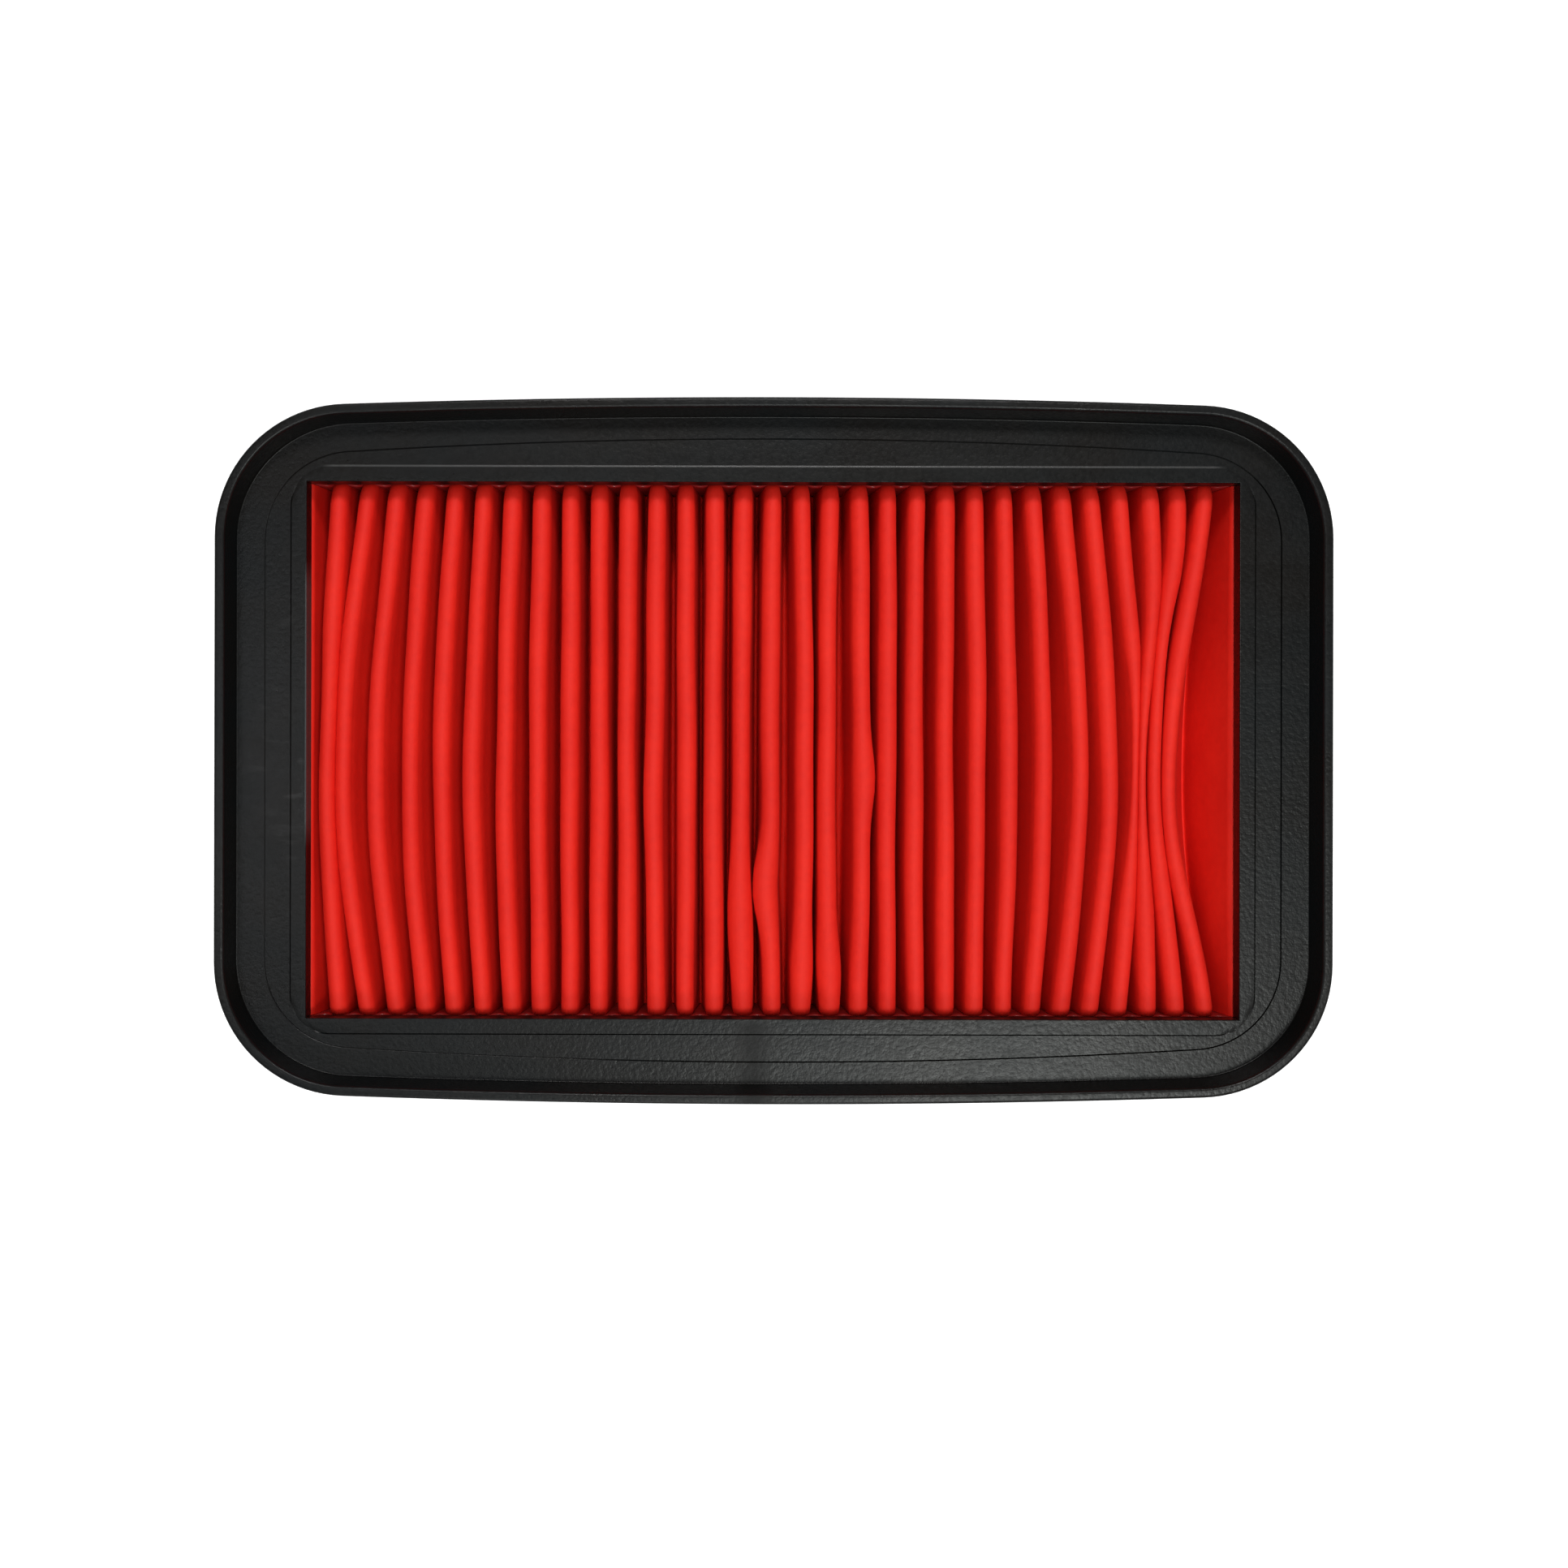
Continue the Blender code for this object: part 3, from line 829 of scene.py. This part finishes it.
def leaf(foot, top, y):
    # an end leaf, glued along its upper edge: it bows a little everywhere and more near the lower corner
    more = smoothStep((pleat["leafBulgeFrom"] - y) / pleat["leafBulgeRun"])
    bow = pleat["leafBow"] + pleat["leafBulge"] * more
    return bentLine(foot, top, 2 * pleat["flankSteps"], lambda share: share**bow)


def sectionAt(y, leafX, halfY, low, high):
    # the folded line of the cloth across the whole pack, at one place along the pleats
    count = len(pleat["bows"])
    crests = [crestAt(i, (i - (count - 1) / 2) * pleat["pitch"], y, halfY) for i in range(count)]
    rounded = pleat["tipRound"][1 if y > 0.0 else 0]
    edge = max(0.0, (abs(y) - (halfY - rounded)) / rounded)
    tip = math.sqrt(max(0.0, 1.0 - edge * edge))
    sheet = pleat["cloth"] / 2
    footZ = low + sheet + pleat["valleyDepth"]
    leafTop = high - pleat["leafDrop"]
    leafSize, leafAngle = pleat["leafWave"]
    leafWave = leafSize * math.sin(leafAngle * y)
    uneven, unevenAngle = pleat["crestUneven"]
    gap = pleat["footStep"]
    firstFoot = max(-leafX + gap, crests[0][1] - pleat["footHalf"] - pleat["leafFoot"])
    line = [(-leafX + leafWave, leafTop)]
    line += reversed(leaf((firstFoot, footZ), line[0], y))
    lastFoot = (firstFoot, footZ)
    for i, (x, footX, half) in enumerate(crests):
        before = crests[i - 1][0] if i else -leafX - pleat["leafRoom"]
        after = crests[i + 1][0] if i < count - 1 else leafX + pleat["leafRoom"]
        room = pleat["crestRoom"] * min(x - before, after - x)
        half = max(pleat["crestLeast"], min(half, room))
        half = (half - sheet) * (1.0 - pleat["tipNarrow"] * (1.0 - tip))
        topZ = high - sheet - pleat["tipDrop"] * (1.0 - tip) - uneven * math.sin(unevenAngle * i) ** 2
        footIn = max(footX - pleat["footHalf"], lastFoot[0] + gap)
        line += valleyArc(lastFoot[0], footIn, footZ)
        arc = crestArc(x, topZ, half)
        line += flank((footIn, footZ), arc[0])
        line += arc
        footOut = max(footX + pleat["footHalf"], footIn + 2 * gap)
        line += flank(arc[-1], (footOut, footZ))
        lastFoot = (footOut, footZ)
    leafFoot = min(leafX - gap, lastFoot[0] + pleat["leafFoot"])
    line += valleyArc(lastFoot[0], leafFoot, footZ)
    line += leaf((leafFoot, footZ), (leafX + leafWave, leafTop), y)
    line.append((leafX + leafWave, leafTop))
    return line


def makeMedia(finish):
    low, high = boxMm("pleated_media")
    leafX = high.x + pleat["leafOut"]
    halfY = high.y + pleat["pastBox"]
    rows = pleat["rows"]
    places = [halfY * math.sin(math.pi / 2 * (2.0 * row / (rows - 1) - 1.0)) for row in range(rows)]
    sections = [sectionAt(y, leafX, halfY, low.z, high.z) for y in places]
    columns = len(sections[0])
    bm = bmesh.new()
    bmesh.ops.create_grid(bm, x_segments=columns - 1, y_segments=rows - 1, size=0.5)
    for vert in bm.verts:
        column = round((vert.co.x + 0.5) * (columns - 1))
        row = round((vert.co.y + 0.5) * (rows - 1))
        x, z = sections[row][column]
        vert.co = (x, places[row], z)
    piece = finishPiece("pleated_cloth", bm, finish, ["pleated_media"], sharpAngle=80.0)
    wall = piece.modifiers.new("clothThickness", "SOLIDIFY")
    wall.thickness = pleat["cloth"] * mm
    wall.offset = 0.0


band = {
    "thick": 0.36,
    "out": 1.42,  # from the inner face of its packed box
    "scallop": 0.15,  # drawn in between one pleat and the next
    "scallopMiddle": 0.8,
    "dip": 1.3,  # of the upper edge between one pleat and the next
    "below": [0.8, 1.8],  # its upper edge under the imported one, at the lower and at the upper wall
    "curlFrom": 0.7,  # share of the height from which it curls
    "step": 8,  # columns to a pleat
    "rows": 9,
}


def makeBand(name, node, side, finish):
    # a strip of cloth across the pleats' ends, drawn in between one pleat and the next
    low, high = boxMm(node)
    count = len(pleat["bows"])
    columns = (count + 1) * band["step"] + 1
    innerY = high.y if side < 0 else low.y
    below = band["below"][1 if side > 0 else 0]
    bm = bmesh.new()
    bmesh.ops.create_grid(bm, x_segments=columns - 1, y_segments=band["rows"] - 1, size=0.5)
    for vert in bm.verts:
        x = low.x + (vert.co.x + 0.5) * (high.x - low.x)
        share = vert.co.y + 0.5
        wave = 0.5 + 0.5 * math.cos(2 * math.pi * x / pleat["pitch"])
        curl = smoothStep((share - band["curlFrom"]) / (1.0 - band["curlFrom"]))
        y = innerY + side * (band["out"] + band["scallop"] * (wave - band["scallopMiddle"]) * curl)
        z = low.z + share * (high.z - low.z - below - band["dip"] * (1.0 - wave) * curl)
        vert.co = (x, y, z)
    if side > 0:
        bmesh.ops.reverse_faces(bm, faces=bm.faces)
    piece = finishPiece(name, bm, finish, [node], sharpAngle=80.0)
    wall = piece.modifiers.new("bandThickness", "SOLIDIFY")
    wall.thickness = band["thick"] * mm
    wall.offset = 0.0


glue = {
    "thick": 0.24,
    "outwards": 0.42,  # from the middle of its packed box
    "cuts": 60,
    "round": 0.08,
    "roundSteps": 3,
    "lump": 0.25,  # most that the bead swells or shrinks at its top and at its foot
    "lumpAngles": [0.8, 0.31],  # of two waves, per millimetre
}


def makeGlue(node, finish):
    # a hot-melt bead, rounded all along and a little lumpy
    low, high = boxMm(node)
    size, middle = high - low, (high + low) / 2
    axis = 0 if size.x > size.y else 1
    across = 1 - axis
    size[across] = glue["thick"]
    middle[across] += math.copysign(glue["outwards"], middle[across])
    bm = bmesh.new()
    place = Matrix.Translation(middle) @ Matrix.Diagonal((*size, 1.0))
    bmesh.ops.create_cube(bm, size=1.0, matrix=place)
    longEdges = [e for e in bm.edges if abs((e.verts[0].co - e.verts[1].co)[axis]) > size[axis] / 2]
    bmesh.ops.subdivide_edges(bm, edges=longEdges, cuts=glue["cuts"])
    sharp = [e for e in bm.edges if e.calc_face_angle() > 1.0]
    bmesh.ops.bevel(bm, geom=sharp, offset=glue["round"], segments=glue["roundSteps"], profile=0.5,
                    affect="EDGES", material=-1)
    first, second = glue["lumpAngles"]
    for vert in bm.verts:
        lump = glue["lump"] * math.sin(first * vert.co[axis]) * math.sin(second * vert.co[axis])
        vert.co.z += lump if vert.co.z > middle.z else -lump
    finishPiece(node + "_bead", bm, finish, [node], sharpAngle=50.0)


refined = {
    "weld": 0.002,
    "flatAngle": 1.0,  # degrees, up to which two faces become one
    "sharpEdge": 50.0,  # degrees, from which an edge gets rounded
    "gridRound": 0.35,
    "sealRound": 0.5,
    "roundSteps": 3,
}


def refinedCopy(name, node, finish, radius):
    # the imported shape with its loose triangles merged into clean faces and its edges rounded
    bm = bmesh.new()
    bm.from_mesh(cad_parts[node].data)
    bmesh.ops.scale(bm, vec=(1 / mm, 1 / mm, 1 / mm), verts=bm.verts)
    bmesh.ops.remove_doubles(bm, verts=bm.verts, dist=refined["weld"])
    flat = math.radians(refined["flatAngle"])
    bmesh.ops.dissolve_limit(bm, angle_limit=flat, verts=bm.verts, edges=bm.edges)
    least = math.radians(refined["sharpEdge"])
    sharp = [e for e in bm.edges if len(e.link_faces) == 2 and e.calc_face_angle() > least]
    bmesh.ops.bevel(bm, geom=sharp, offset=radius, segments=refined["roundSteps"], profile=0.5,
                    affect="EDGES", material=-1, clamp_overlap=True)
    piece = finishPiece(name, bm, finish, [node])
    piece.modifiers.new("evenNormals", "WEIGHTED_NORMAL").keep_sharp = True


makeCamera()
makeWorld()
makeFloor()
for lampName, lampValues in lamps.items():
    makeLight(lampName, lampValues)
print("camera, floor and lights are in place")

makeFrame(blackPlastic())
print("frame is moulded")
makeMedia(redCloth())
print("cloth is folded")
bandRed = bandCloth()
glueRed = glueFinish()
makeBand("upper_band_cloth", "upper_side_band", 1, bandRed)
makeBand("lower_band_cloth", "lower_side_band", -1, bandRed)
for glueNode in ("upper_side_glue", "lower_side_glue", "left_end_glue", "right_end_glue"):
    makeGlue(glueNode, glueRed)
print("bands and glue are on")
refinedCopy("rear_support_grid", "rear_grid", gridPlastic(), refined["gridRound"])
refinedCopy("seal_ring", "gasket", sealFoam(), refined["sealRound"])
print("grid and seal ring are on")
